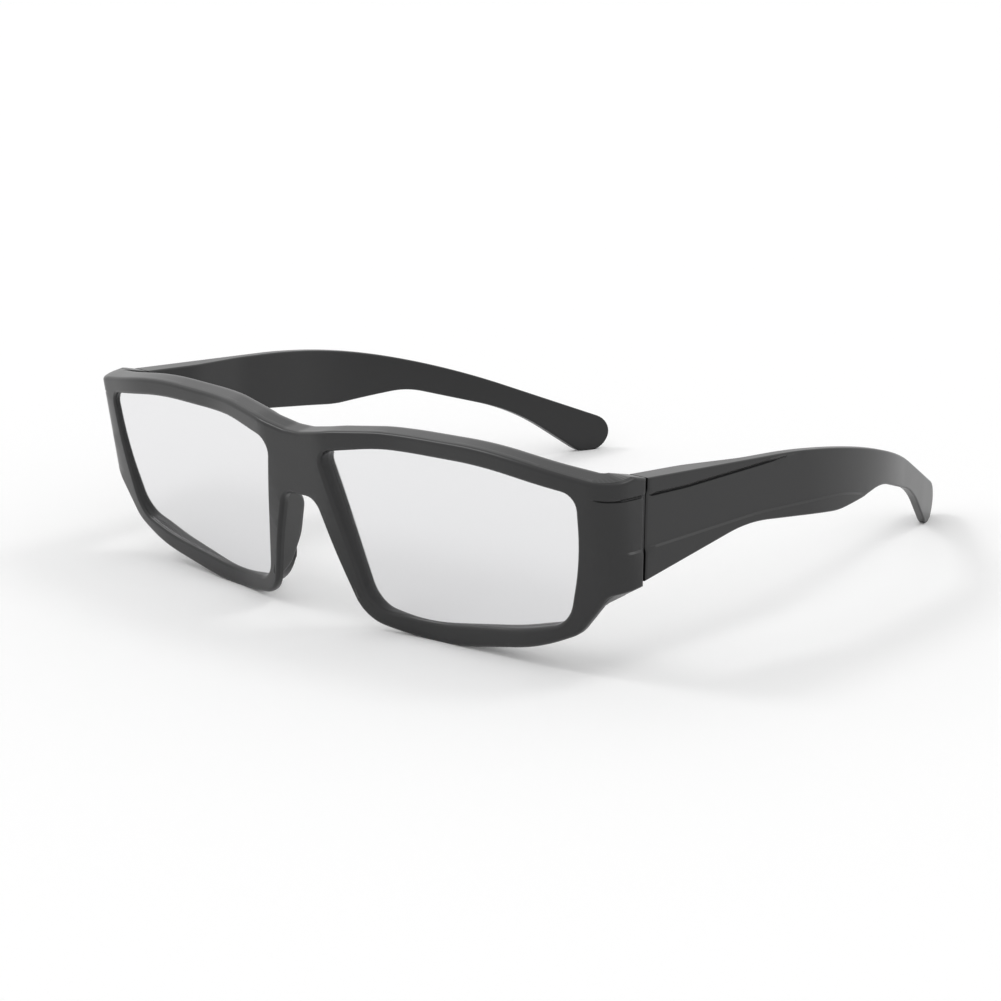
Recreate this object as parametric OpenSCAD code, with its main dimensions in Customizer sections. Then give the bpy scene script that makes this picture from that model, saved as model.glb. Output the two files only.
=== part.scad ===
/* [Front] */
// Width across the two outer corners
front_width = 168; // [156:1:178]
// Height of the front before its lower edge is rounded
front_height = 46.4; // [42:0.2:50]
// Depth of the front from face to back at the bridge
front_depth = 6.7; // [6.3:0.1:7.6]
// Thickness of the face plate whose edge stands out round the rims
face_thick = 1.8; // [1.4:0.1:1.9]
// Forward lean of the front against the arms, in degrees
face_tilt = 11.25; // [6:0.25:14]
// Radius of the outer corners seen from above
corner_radius = 7; // [4:0.5:9]
// How far the lens part of the face lies behind the bridge
bridge_stand = 4.3; // [2:0.1:6]
// Further set back of the face at the outer corners
corner_sweep = 6.7; // [4:0.1:8]
// Fall of the top edge towards the outer corners
top_fall = 5.7; // [3:0.1:8]
// Rise of the lower edge towards the outer corners
low_rise = 12.2; // [8:0.2:15]

/* [Bridge and nose rests] */
// Half width of the bridge at its underside
bridge_half = 5; // [4:0.1:7]
// Depth of the bridge underside below the top edge
bridge_drop = 16.3; // [13:0.1:19]
// Dip of the top edge at the bridge
bridge_dip = 2; // [1:0.05:3]
// Half width between the rims at their lower nose corners
nose_foot_half = 14.6; // [12.5:0.1:17]
// Reach of the nose rests behind the face
nose_rest_reach = 8.4; // [7:0.1:9]
// Outward flare of the nose rests, in degrees
nose_rest_flare = 8; // [2:1:14]
// Thickness of the nose rests
nose_rest_thick = 2; // [1.6:0.1:2.4]

/* [Rims and lenses] */
// Width of the rim above the lens
rim_top = 3.2; // [2.6:0.1:4]
// Width of the rim below the lens
rim_low = 5.3; // [4.4:0.1:6.5]
// Width of the rim between lens and outer corner
rim_side = 8.3; // [7.2:0.1:9.5]
// Extra half width from the bridge to the lens at the top
rim_nose_top = 3.1; // [2:0.1:4]
// Extra half width from the nose foot to the lens at the bottom
rim_nose_foot = 2.2; // [2:0.1:4]
// Thickness of the solar film
film_thick = 0.23; // [0.15:0.01:0.5]
// Film edge held behind the rim
film_hold = 1.4; // [1:0.1:1.6]
// Wall left round the film and its retainer
film_wall = 0.9; // [0.7:0.1:1.1]
// Depth of the film behind the face at the nose
film_depth = 2.5; // [2.3:0.1:3.6]
// Wrap angle of each film, in degrees
film_wrap = 6.4; // [6.2:0.1:7]
// Thickness of the retainer ring behind the film
retainer_thick = 0.9; // [0.6:0.1:1.2]
// Gap around the film and the retainer ring
film_gap = 0.1; // [0.05:0.01:0.2]

/* [Corner pieces] */
// Wall thickness of the corner pieces
corner_thick = 5.5; // [5:0.1:6.5]
// Distance from the bridge face to the hinge seam
seam_depth = 22.6; // [22:0.1:26]
// Top edge of the corner pieces and arms below the datum
arm_top = 1.4; // [0.8:0.1:2.4]
// Lower edge of the corner pieces at the seam
seam_low = 22.5; // [20:0.1:25]
// Slope of the lower edge through the seam, in degrees
seam_slope = 14.4; // [10:0.2:18]
// Forward rise of the corner pieces' top edge at the seam, in degrees
corner_top_slope = 10; // [8:0.5:12]
// Gap at the hinge seam
seam_gap = 0.25; // [0.15:0.05:0.4]

/* [Arms] */
// Arm length from seam to the top corner of the tip
arm_reach = 131.6; // [111:0.2:145]
// Straight length before the arms turn inward
arm_straight = 49.2; // [40:0.2:60]
// Radius of the inward bend
arm_bend_radius = 100; // [80:1:130]
// Angle of the inward bend, in degrees
arm_bend = 27.5; // [20:0.5:32]
// Arm thickness behind the hinge
arm_thick = 3; // [2.6:0.1:4.4]
// Thickness at the arm tip
tip_thick = 2.2; // [1.8:0.1:3]
// Distance from the seam at which the ear bend is centred
ear_start = 72.2; // [60:0.2:80]
// Downward angle of the ear part, in degrees
ear_drop = 21.5; // [15:0.5:26]
// Radius of the ear bend along the top edge
ear_bend_radius = 180; // [120:10:200]
// Width across the tip
tip_width = 11.4; // [9:0.2:13]
// Depth of the sunk panel on the outer face
panel_sink = 0.4; // [0.2:0.1:0.8]

/* [Hinges] */
// Outer diameter of the hinge knuckles
knuckle_d = 3.6; // [3:0.1:4]
// Height of all three knuckles together
knuckle_stack = 7.8; // [6:0.1:10]
// Gap between neighbouring knuckles
knuckle_gap = 0.1; // [0.05:0.01:0.2]
// Diameter of the hinge screw
pin_d = 1.4; // [1.2:0.1:1.6]
// Running clearance around the hinge screw, on the radius
pin_play = 0.05; // [0.02:0.01:0.08]
// Thickness of the hinge leaves
leaf_thick = 0.8; // [0.6:0.1:1]
// Length of a leaf from the hinge axis
leaf_length = 6; // [5.6:0.1:6.4]
// Depth of the hinge axis below the top datum
hinge_drop = 11.8; // [9:0.1:14]
// Shank diameter of the small leaf screws
leaf_screw_d = 1.1; // [0.9:0.1:1.3]
// Grip of the leaf screws in the plastic
leaf_screw_grip = 2.6; // [2:0.1:3]

/* [Hidden] */
$fn = 48;
half_width = front_width / 2;
// Turning steps of one rounded corner
steps = 8;
// Amount ground flat where the part stands
stand_flat = 0.3;
small = 0.01;
// Reach of cutting bodies past the part
over = front_width / 8;
// Clearance that moving faces keep at the hinge
swing_gap = 0.3;

// Points of a fillet of radius r at corner c between a and b
function direction(v) = v / norm(v);
function flat2(p) = [p[0], p[1]];
function fillet_centre(a, c, b, r) =
    let (u = direction(flat2(a) - flat2(c)), v = direction(flat2(b) - flat2(c)))
    flat2(c) + direction(u + v) * r / sin(acos(u * v) / 2);
function wrap_turn(t) = t > 180 ? t - 360 : (t < -180 ? t + 360 : t);
function fillet(a, c, b, r) =
    let (
        u = direction(flat2(a) - flat2(c)),
        v = direction(flat2(b) - flat2(c)),
        reach = r / tan(acos(u * v) / 2),
        m = fillet_centre(a, c, b, r),
        s = flat2(c) + u * reach - m,
        e = flat2(c) + v * reach - m,
        from = atan2(s[1], s[0]),
        turn = wrap_turn(atan2(e[1], e[0]) - from)
    )
    [for (i = [0 : steps]) m + r * [cos(from + turn * i / steps), sin(from + turn * i / steps)]];

// Closed outline from corners [x, y, radius]
function rounded(p) = [
    for (i = [0 : len(p) - 1])
        each p[i][2] > 0
            ? fillet(p[(i + len(p) - 1) % len(p)], p[i], p[(i + 1) % len(p)], p[i][2])
            : [flat2(p[i])]
];
function mirrored(p) = [for (i = [len(p) - 1 : -1 : 0]) [-p[i][0], p[i][1], p[i][2]]];

// Outer outline of the front, right half, in its own plane with the top edge at 0
side_past = half_width + 6;
// Radius under the nose foot, as large as the room beside its corner allows
rim_foot_radius = 3.4 * (33 - nose_foot_half);
low_corner_z = -front_height + low_rise;
front_half = [
    [bridge_half - 2.5, -bridge_dip, 11],
    [bridge_half + 7, -0.6, 50],
    [24, 0.15, 60],
    [half_width - 28, 0.1, 120],
    [side_past, -top_fall, 0],
    [side_past, low_corner_z + 7.6, 0],
    [half_width - 3.4, low_corner_z + 6.2, 3],
    [half_width - 11.4, low_corner_z - 2.8, 9],
    [half_width - 22, -front_height + 5, 60],
    [33, -front_height, rim_foot_radius],
    [nose_foot_half, -front_height + 4, 9.5],
    [bridge_half, -bridge_drop, 4]
];
front_outline = rounded(concat(front_half, mirrored(front_half)));

// Outline of one lens opening
lens_top_z = 0.1 - rim_top;
lens_low_z = -front_height + rim_low;
lens_side_x = half_width - rim_side;
lens_corners = [
    [bridge_half + rim_nose_top, lens_top_z - 2.1, 3.2],
    [24, lens_top_z, 60],
    [half_width - 30, lens_top_z - 0.2, 120],
    [lens_side_x, lens_top_z - 3.7, 3.5],
    [lens_side_x - 0.7, lens_top_z - 17, 60],
    [lens_side_x - 5.1, lens_low_z + 6.3, 8],
    [half_width - 27, lens_low_z + 3, 80],
    [32, lens_low_z, 70],
    [nose_foot_half + rim_nose_foot, lens_low_z + 1.6, 7]
];

// Corners of the face and back of the front, seen from above
sweep_y = bridge_stand + corner_sweep;
face_corners = [
    [bridge_half + 4.5, 0, 18],
    [30, bridge_stand, 80],
    [half_width - 18, bridge_stand + 2.6, 100],
    [half_width, sweep_y, corner_radius]
];
back_corners = [
    [bridge_half + 4.5, front_depth, 14],
    [30, bridge_stand + front_depth, 80],
    [half_width - 18, bridge_stand + 2.6 + front_depth, 60],
    [half_width - corner_thick, sweep_y + front_depth - 0.6, 1.5]
];
// Back of the rims beside the hinge, where its leaf needs room
hinge_side_y = sweep_y + 3.2;
wall_run = seam_depth + 12;

// Side outline of an arm, y along the arm from the bridge face, z from the top datum
arm_start = seam_depth + seam_gap;
seam_low_z = -seam_low;
ear_corner = [seam_depth + ear_start, -arm_top];
ear_run = (arm_reach - ear_start) / cos(ear_drop);
tip_top = ear_corner + ear_run * [cos(ear_drop), -sin(ear_drop)];
tip_lean = ear_drop + 6.3;
tip_low = tip_top + tip_width * [-sin(tip_lean), -cos(tip_lean)];
tip_radius = 0.455 * tip_width;
tip_top_radius = 0.4 * tip_width;
neck = [tip_low[0] - 19.5, tip_low[1] + 14.2];
arm_belly = -arm_top - 13.2;
arm_side = [
    [arm_start, -arm_top, 0],
    [ear_corner[0], ear_corner[1], ear_bend_radius],
    [tip_top[0], tip_top[1], tip_top_radius],
    [tip_low[0], tip_low[1], tip_radius],
    [neck[0], neck[1], 45],
    [seam_depth + 80.5, arm_belly + 0.8, 22],
    [seam_depth + 60.2, arm_belly - 1.7, 30],
    [seam_depth + (arm_belly - seam_low_z) / tan(seam_slope), arm_belly, 40],
    [arm_start, seam_low_z + seam_gap * tan(seam_slope), 0]
];

// Corners of an arm seen from above
bend_y = seam_depth + arm_straight + arm_bend_radius * tan(arm_bend / 2);
inner_bend_y = bend_y - arm_thick * tan(arm_bend / 2);
tail_run = 80;
tail_x = half_width - tail_run * sin(arm_bend);
tail_y = bend_y + tail_run * cos(arm_bend);
thin_x = half_width - arm_thick;
thin_start = seam_depth + 15;
thin_end = seam_depth + 30;
tail_in = tip_thick * [cos(arm_bend), sin(arm_bend)];
function arm_outer(sink) = [
    [half_width - sink, seam_depth - 20, 0],
    [half_width - sink, bend_y - sink * tan(arm_bend / 2), arm_bend_radius - sink],
    [tail_x - sink * cos(arm_bend), tail_y - sink * sin(arm_bend), 0]
];
arm_inner = [
    [tail_x - tail_in[0], tail_y - tail_in[1], 0],
    [thin_x, inner_bend_y, arm_bend_radius - arm_thick],
    [thin_x, thin_end, 30],
    [half_width - corner_thick, thin_start, 30],
    [half_width - corner_thick, arm_start - 2, 0]
];

// Hinge axis
leaf_face_x = half_width - corner_thick;
hinge_x = leaf_face_x - knuckle_d / 2 + leaf_thick;
hinge_y = seam_depth;
hinge_z = -hinge_drop;
knuckle_h = (knuckle_stack - 2 * knuckle_gap) / 3;
pin_r = pin_d / 2;
pin_head_r = knuckle_d / 2 - 0.4;
pin_head_h = 0.7;
leaf_height = knuckle_stack;
knuckle_room = knuckle_d / 2 + swing_gap;
leaf_screw_r = leaf_screw_d / 2;
leaf_screw_play = 0.05;
leaf_head_r = 1.05;
leaf_head_h = 0.45;
leaf_hole_y = leaf_length - 1.8;
leaf_hole_z = leaf_height / 2 - 1.6;
leaf_seat_gap = 0.05;

// How the glasses stand: the lean that brings rims and arm tips to one level
rim_c = fillet_centre([half_width - 22, -front_height + 5], [33, -front_height],
    [nose_foot_half, -front_height + 4], rim_foot_radius);
rim_low_y = bridge_stand - 0.1;
rim_low_z = rim_c[1] - rim_foot_radius;
rim_a = [
    rim_low_y * cos(face_tilt) - rim_low_z * sin(face_tilt),
    rim_low_y * sin(face_tilt) + rim_low_z * cos(face_tilt)
];
tip_c = fillet_centre(tip_top, tip_low, neck, tip_radius);
rise = rim_a[1] - tip_c[1];
run = tip_c[0] - rim_a[0];
rest_lean = asin(-tip_radius / norm([rise, run])) - atan2(rise, run);
ground = rim_a[1] * cos(rest_lean) - rim_a[0] * sin(rest_lean) + stand_flat;
tip_top_c = fillet_centre(ear_corner, tip_top, tip_low, tip_top_radius);
back_y = tip_top_c[0] * cos(rest_lean) + tip_top_c[1] * sin(rest_lean) + tip_top_radius;
front_y = -1.25 * sin(rest_lean - face_tilt);
middle_y = (back_y + front_y) / 2;

// Placing: arms frame to the table, front plane to the arms frame
module stand() translate([0, -middle_y, -ground]) rotate([-rest_lean, 0, 0]) children();
module front_plane() rotate([face_tilt, 0, 0]) children();
module right_side() mirror([1, 0, 0]) children();
module both_sides() {
    children();
    mirror([1, 0, 0]) children();
}
module along_y(y0, y1) translate([0, y1, 0]) rotate([90, 0, 0]) linear_extrude(height = y1 - y0) children();
module along_x(x0, x1)
    translate([x0, 0, 0]) rotate([90, 0, 90]) linear_extrude(height = x1 - x0) children();
module table_cut()
    translate([-front_width, -front_width, -over]) cube([2 * front_width, 2 * front_width, over]);

module lens_shape(grow) offset(delta = grow) polygon(rounded(lens_corners));

// Space between two planes behind the front of one film
module film_slab(d0, d1)
    translate([bridge_half + 3, film_depth, 0])
        rotate([0, 0, film_wrap])
            translate([-over, d0, -front_height - over])
                cube([half_width + 2 * over, d1 - d0, front_height + 2 * over]);

// Curved plate that the front is cut from, seen from above
face_path = rounded(concat([[0, 0, 0]], face_corners, [[half_width, wall_run, 0]]));
back_path = rounded(concat([[0, front_depth, 0]], back_corners, [[half_width - corner_thick, wall_run, 0]]));
function backwards(path) = [for (i = [len(path) - 1 : -1 : 0]) path[i]];
function across(path) = concat(
    [for (p = backwards(path)) if (p[0] > 0) [-p[0], p[1]]],
    [for (p = path) if (p[0] > 0) p]
);
module front_plan() polygon(concat(across(face_path), backwards(across(back_path))));

// The face plate alone, which ends in the rounded corners
plate_path = across([for (p = face_path) if (p[0] < half_width - 0.3) p]);
module face_plan() polygon(concat(plate_path, [for (p = backwards(plate_path)) p + [0, face_thick]]));

// The rear part seen from the front: a ring round each lens, the top, the bridge and the sides
module rear_outline() intersection() {
    polygon(front_outline);
    union() {
        translate([-half_width - 9, -rim_top - 2.6]) square([front_width + 18, 20]);
        translate([-bridge_half - 4, -bridge_drop + 0.6]) square([2 * bridge_half + 8, 20]);
        for (turn = [0, 1]) mirror([turn, 0]) {
            translate([half_width - corner_thick - 0.6, low_corner_z - 6]) square([20, 60]);
            offset(r = film_hold + film_wall) polygon(rounded(lens_corners));
        }
    }
}

// Room inside the corner pieces for the hinge leaf, below the top ledge
module hinge_room() translate([0, 0, -front_height - 5])
    linear_extrude(height = front_height + 5 - rim_top - 3.4)
        polygon([
            [half_width - 20, hinge_side_y + 1.2], [half_width - 14, hinge_side_y - 0.4],
            [half_width - corner_thick, hinge_side_y], [half_width - corner_thick, wall_run + 9],
            [half_width - 20, wall_run + 9]
        ]);

// Moulded rest along the nose side of a rim, in the slanting plane of that side
module nose_rest() {
    lean = atan2(nose_foot_half - bridge_half, front_height - 4 - bridge_drop);
    profile = rounded([
        [1, -0.4, 0], [4.2, -0.9, 2.5], [nose_rest_reach, -5.5, 6], [nose_rest_reach, -15, 10],
        [nose_rest_reach - 2.6, -22, 4], [1, -24.3, 0]
    ]);
    translate([bridge_half - 0.15, 0, -bridge_drop])
        rotate([0, -lean, 0])
            rotate([0, 0, -nose_rest_flare])
                along_x(0.1, 0.1 + nose_rest_thick)
                    polygon(profile);
}

// Rounding that leaves the rim shallow at its lower nose corner
module foot_relief() {
    foot_z = -front_height + 4;
    along_x(bridge_half, nose_foot_half + 9) polygon([
        [front_depth + 2, foot_z + 9], [front_depth + 0.4, foot_z + 6.5], [front_depth - 0.3, foot_z + 2.6],
        [front_depth - 0.8, foot_z + 0.9], [face_thick + 0.4, foot_z + 0.1], [face_thick + 0.4, foot_z - 9],
        [front_depth + 9, foot_z - 9], [front_depth + 9, foot_z + 9]
    ]);
}

// Shallow field on the corner pieces that carries on the panel of the arms
module corner_panel() intersection() {
    translate([0, 0, -60]) linear_extrude(height = 80) polygon([
        [half_width, seam_depth - 8.5], [half_width + 1, seam_depth - 8.5],
        [half_width + 1, seam_depth + 1], [half_width - panel_sink, seam_depth + 1]
    ]);
    along_x(half_width - 5, half_width + 5) panel_side();
}

module leaf_pocket(side) {
    near = side > 0 ? hinge_y - small : hinge_y - leaf_length - leaf_seat_gap;
    translate([leaf_face_x - small, near, hinge_z - leaf_height / 2 - leaf_seat_gap])
        cube([leaf_thick + small, leaf_length + leaf_seat_gap + small, leaf_height + 2 * leaf_seat_gap]);
}

// Round room for the knuckles and the screw head where they stand in the plastic
module knuckle_pocket()
    translate([hinge_x, hinge_y, hinge_z - leaf_height / 2 - leaf_seat_gap])
        cylinder(r = knuckle_room, h = leaf_height + 2 * leaf_seat_gap + pin_head_h + swing_gap);

module pilot_holes(side)
    for (level = [-leaf_hole_z, leaf_hole_z])
        translate([leaf_face_x, hinge_y + side * leaf_hole_y, hinge_z + level])
            rotate([0, 90, 0])
                cylinder(r = leaf_screw_r + leaf_screw_play, h = leaf_thick + leaf_screw_grip + 0.2);

module front_blank() {
    difference() {
        intersection() {
            translate([0, 0, -front_height - over])
                linear_extrude(height = front_height + 2 * over)
                    face_plan();
            along_y(-over, wall_run + over) polygon(front_outline);
        }
        both_sides() along_y(-over, wall_run + over) polygon(rounded(lens_corners));
    }
    difference() {
        intersection() {
            translate([0, 0, -front_height - over])
                linear_extrude(height = front_height + 2 * over)
                    front_plan();
            along_y(-over, wall_run + over) difference() {
                rear_outline();
                for (turn = [0, 1]) mirror([turn, 0]) polygon(rounded(lens_corners));
            }
        }
        both_sides() foot_relief();
        both_sides() hinge_room();
    }
    both_sides() nose_rest();
}

module front_frame() color("#2b2b2d")
    difference() {
        stand() difference() {
            front_plane() difference() {
                front_blank();
                both_sides() intersection() {
                    along_y(-over, wall_run + over) lens_shape(film_hold);
                    film_slab(0, wall_run);
                }
            }
            // ends of the corner pieces at the seam and their top edge
            both_sides() translate([0, seam_depth, -3 * over]) cube([half_width + over, 3 * over, 4 * over]);
            both_sides() translate([leaf_face_x, seam_depth, -arm_top])
                rotate([-corner_top_slope, 0, 0])
                    translate([0, -over / 2, 0]) cube([2 * over, 3 * over, over]);
            both_sides() corner_panel();
            both_sides() leaf_pocket(-1);
            both_sides() knuckle_pocket();
            both_sides() pilot_holes(-1);
        }
        table_cut();
    }

module lens() color("#d8d9da")
    stand() front_plane() intersection() {
        along_y(0, wall_run) lens_shape(film_hold - film_gap);
        film_slab(0, film_thick);
    }

module lens_retainer() color("#262628")
    stand() front_plane() intersection() {
        along_y(0, wall_run) difference() {
            lens_shape(film_hold - film_gap);
            lens_shape(0);
        }
        film_slab(film_thick, film_thick + retainer_thick);
    }

module arm_plan() {
    polygon(rounded(concat(arm_outer(0), arm_inner)));
}

// Layer outside the sunk level of the arm's outer face
module arm_skin() polygon(concat(
    rounded(arm_outer(panel_sink)),
    [[tail_x + 30, tail_y + 10], [half_width + 30, seam_depth - 20]]
));

// Side view of the sunk panel, running out over the top edge and the tip
module panel_side() {
    panel = rounded([
        [seam_depth - 5, -arm_top - 3.5, 0],
        [seam_depth + 12, -arm_top - 2.9, 60],
        [seam_depth + 56, -arm_top + 0.6, 0],
        [seam_depth + arm_reach + 20, 20, 0],
        [seam_depth + arm_reach + 20, -60, 0],
        [seam_depth + 79, arm_belly - 1.5, 0],
        [seam_depth + 62, arm_belly + 2, 60],
        [seam_depth + 34, arm_belly + 1.6, 80],
        [seam_depth - 5, arm_belly - 1.7, 0]
    ]);
    polygon(panel);
}

module temple() color("#2b2b2d")
    difference() {
        stand() difference() {
            intersection() {
                translate([0, 0, -80]) linear_extrude(height = 90) arm_plan();
                along_x(0, half_width + 20) polygon(rounded(arm_side));
            }
            intersection() {
                translate([0, 0, -80]) linear_extrude(height = 90) arm_skin();
                along_x(0, half_width + 20) panel_side();
            }
            leaf_pocket(1);
            knuckle_pocket();
            pilot_holes(1);
        }
        table_cut();
    }

// Leaf plate with two screw holes; side -1 lies in the front, 1 in the arm
module leaf_plate(side) {
    near = side > 0 ? hinge_y + knuckle_room : hinge_y - leaf_length;
    difference() {
        translate([leaf_face_x, near, hinge_z - leaf_height / 2])
            cube([leaf_thick, leaf_length - knuckle_room, leaf_height]);
        for (level = [-leaf_hole_z, leaf_hole_z])
            translate([leaf_face_x - 1, hinge_y + side * leaf_hole_y, hinge_z + level])
                rotate([0, 90, 0]) cylinder(r = leaf_screw_r + leaf_screw_play, h = leaf_thick + 2);
    }
}

// One knuckle at level i of 0, 1, 2 with the tab that joins it to its leaf
module knuckle(i, side, play) {
    z0 = hinge_z - knuckle_stack / 2 + i * (knuckle_h + knuckle_gap);
    near = side > 0 ? hinge_y : hinge_y - knuckle_room - small;
    difference() {
        union() {
            translate([hinge_x, hinge_y, z0]) cylinder(r = knuckle_d / 2, h = knuckle_h);
            translate([leaf_face_x, near, z0]) cube([leaf_thick, knuckle_room + small, knuckle_h]);
        }
        translate([hinge_x, hinge_y, z0 - 1]) cylinder(r = pin_r + play, h = knuckle_h + 2);
    }
}

module frame_hinge_leaf() color("#b9bbbd")
    stand() union() {
        leaf_plate(-1);
        knuckle(0, -1, pin_play);
        knuckle(2, -1, pin_play);
    }

module temple_hinge_leaf() color("#b9bbbd")
    stand() union() {
        leaf_plate(1);
        knuckle(1, 1, pin_play);
    }

// Slotted screw that runs through the three knuckles
module hinge_screw() color("#c8cacc")
    stand() translate([hinge_x, hinge_y, hinge_z])
        difference() {
            union() {
                translate([0, 0, -knuckle_stack / 2]) cylinder(r = pin_r, h = knuckle_stack + small);
                translate([0, 0, knuckle_stack / 2]) cylinder(r = pin_head_r, h = pin_head_h);
            }
            translate([-3, -0.18, knuckle_stack / 2 + pin_head_h - 0.35]) cube([6, 0.36, 2]);
        }

module leaf_screws(side) color("#c8cacc")
    stand() for (level = [-leaf_hole_z, leaf_hole_z])
        translate([leaf_face_x - leaf_head_h, hinge_y + side * leaf_hole_y, hinge_z + level])
            rotate([0, 90, 0])
                difference() {
                    union() {
                        cylinder(r = leaf_head_r, h = leaf_head_h);
                        cylinder(r = leaf_screw_r, h = leaf_head_h + leaf_thick + leaf_screw_grip);
                    }
                    translate([-0.15, -3, -1]) cube([0.3, 6, 1.22]);
                }

module lens_left() lens();
module lens_right() right_side() lens();
module lens_retainer_left() lens_retainer();
module lens_retainer_right() right_side() lens_retainer();
module temple_left() temple();
module temple_right() right_side() temple();
module frame_hinge_leaf_left() frame_hinge_leaf();
module frame_hinge_leaf_right() right_side() frame_hinge_leaf();
module temple_hinge_leaf_left() temple_hinge_leaf();
module temple_hinge_leaf_right() right_side() temple_hinge_leaf();
module hinge_screw_left() hinge_screw();
module hinge_screw_right() right_side() hinge_screw();
module frame_leaf_screws_left() leaf_screws(-1);
module frame_leaf_screws_right() right_side() leaf_screws(-1);
module temple_leaf_screws_left() leaf_screws(1);
module temple_leaf_screws_right() right_side() leaf_screws(1);

front_frame();
lens_left();
lens_right();
lens_retainer_left();
lens_retainer_right();
temple_left();
temple_right();
frame_hinge_leaf_left();
frame_hinge_leaf_right();
temple_hinge_leaf_left();
temple_hinge_leaf_right();
hinge_screw_left();
hinge_screw_right();
frame_leaf_screws_left();
frame_leaf_screws_right();
temple_leaf_screws_left();
temple_leaf_screws_right();
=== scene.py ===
import math

import bmesh
import bpy
import numpy as np
from mathutils import Matrix, Vector
from mathutils.geometry import delaunay_2d_cdt


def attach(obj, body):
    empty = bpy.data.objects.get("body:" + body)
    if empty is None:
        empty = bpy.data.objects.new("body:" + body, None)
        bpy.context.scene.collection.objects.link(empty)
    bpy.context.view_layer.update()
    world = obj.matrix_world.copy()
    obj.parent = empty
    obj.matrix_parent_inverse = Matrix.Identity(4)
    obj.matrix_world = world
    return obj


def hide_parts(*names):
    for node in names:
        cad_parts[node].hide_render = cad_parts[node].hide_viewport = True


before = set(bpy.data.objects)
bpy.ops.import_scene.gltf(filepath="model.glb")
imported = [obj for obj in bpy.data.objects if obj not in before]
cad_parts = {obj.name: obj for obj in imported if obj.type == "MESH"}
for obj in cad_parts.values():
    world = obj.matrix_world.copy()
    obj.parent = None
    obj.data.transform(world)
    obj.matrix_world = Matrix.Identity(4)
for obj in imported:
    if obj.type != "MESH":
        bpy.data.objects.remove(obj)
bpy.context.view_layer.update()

# Face of the front: the thin outer plate of the black moulding, bent in one sweep across both
# rims and round the corners to the hinge seams. Injection-moulded ABS, its edges 0.9 mm round.
# Sizes are in millimetres from the middle of its top edge: X to the wearer's left, Y back, Z up.
MM = 0.001
HALF_WIDTH = 84.0
FRONT_HEIGHT = 46.4
BRIDGE_HALF = 5
BRIDGE_DROP = 16.3
NOSE_FOOT_HALF = 14.6
FACE_THICK = 1.8
FACE_ROUND = 0.9
INNER_ROUND = 0.05
# lean of the front against the arms, and of the arms as the whole stands on rims and arm tips,
# in degrees
FACE_TILT = 11.25
REST_LEAN = 4.76613
# middle of the whole from front to back, and the height of the table it stands on
MIDDLE_Y = 74.862
GROUND = -44.1753
# depth of the hinge seam, drop of the arms' top edge, and the corners' fall towards it in degrees
SEAM = 22.6
ARM_TOP = 1.4
TOP_SLOPE = 10


def direction(v):
    """Unit vector along v."""
    return v / np.linalg.norm(v)


def rounded(corners, closed=True, step=0.7):
    """Line through corners (a, b, radius) with each corner rounded by its radius."""
    pts = []
    count = len(corners)
    for i, corner in enumerate(corners):
        c = np.array(corner[:2], float)
        radius = corner[2]
        if radius == 0 or (not closed and i in (0, count - 1)):
            pts.append(c)
            continue
        u = direction(np.array(corners[i - 1][:2], float) - c)
        v = direction(np.array(corners[(i + 1) % count][:2], float) - c)
        half = math.acos(max(-1.0, min(1.0, float(u @ v)))) / 2
        centre = c + direction(u + v) * radius / math.sin(half)
        start = c + u * radius / math.tan(half) - centre
        end = c + v * radius / math.tan(half) - centre
        a0 = math.atan2(start[1], start[0])
        turn = (math.atan2(end[1], end[0]) - a0 + math.pi) % (2 * math.pi) - math.pi
        steps = max(5, int(abs(turn) * radius / step))
        for k in range(steps + 1):
            a = a0 + turn * k / steps
            pts.append(centre + radius * np.array([math.cos(a), math.sin(a)]))
    return np.array(pts)


def divided(line, step, closed=True):
    """The same line with extra points wherever two of them are further apart than step."""
    out = []
    count = len(line)
    for i in range(count if closed else count - 1):
        a, b = line[i], line[(i + 1) % count]
        gap = float(np.linalg.norm(b - a))
        if gap < 1e-6:
            continue
        parts = max(1, int(math.ceil(gap / step)))
        out += [a + (b - a) * k / parts for k in range(parts)]
    if not closed:
        out.append(line[-1])
    return np.array(out)


def fine_line(path, step):
    """Open line with rounded corners and points no further apart than step."""
    return divided(rounded(path, closed=False, step=step), step, closed=False)


def turned_left(loop):
    """Loop with its material on the left, seen from outside."""
    a, b = loop, np.roll(loop, -1, 0)
    return loop if np.sum(a[:, 0] * b[:, 1] - b[:, 0] * a[:, 1]) > 0 else loop[::-1]


def drawn_in(loop, inset):
    """Loop moved into the material on its left by inset."""
    ahead = np.roll(loop, -1, 0) - loop
    ahead /= np.linalg.norm(ahead, axis=1)[:, None]
    behind = np.roll(ahead, 1, 0)
    n1 = np.stack([-behind[:, 1], behind[:, 0]], 1)
    n2 = np.stack([-ahead[:, 1], ahead[:, 0]], 1)
    spread = np.maximum(1 + np.sum(n1 * n2, 1), 0.6)
    return loop + inset * (n1 + n2) / spread[:, None]


def lies_inside(points, loops):
    """True where a point is inside an odd number of the loops."""
    inside = np.zeros(len(points), bool)
    for loop in loops:
        a, b = loop, np.roll(loop, -1, 0)
        over = (a[None, :, 1] > points[:, None, 1]) != (b[None, :, 1] > points[:, None, 1])
        rise = np.where(np.abs(b[:, 1] - a[:, 1]) < 1e-12, 1e-12, b[:, 1] - a[:, 1])
        cross = a[:, 0] + (points[:, None, 1] - a[:, 1]) * (b[:, 0] - a[:, 0]) / rise
        inside ^= (np.sum(over & (points[:, None, 0] < cross), 1) % 2).astype(bool)
    return inside


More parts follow.
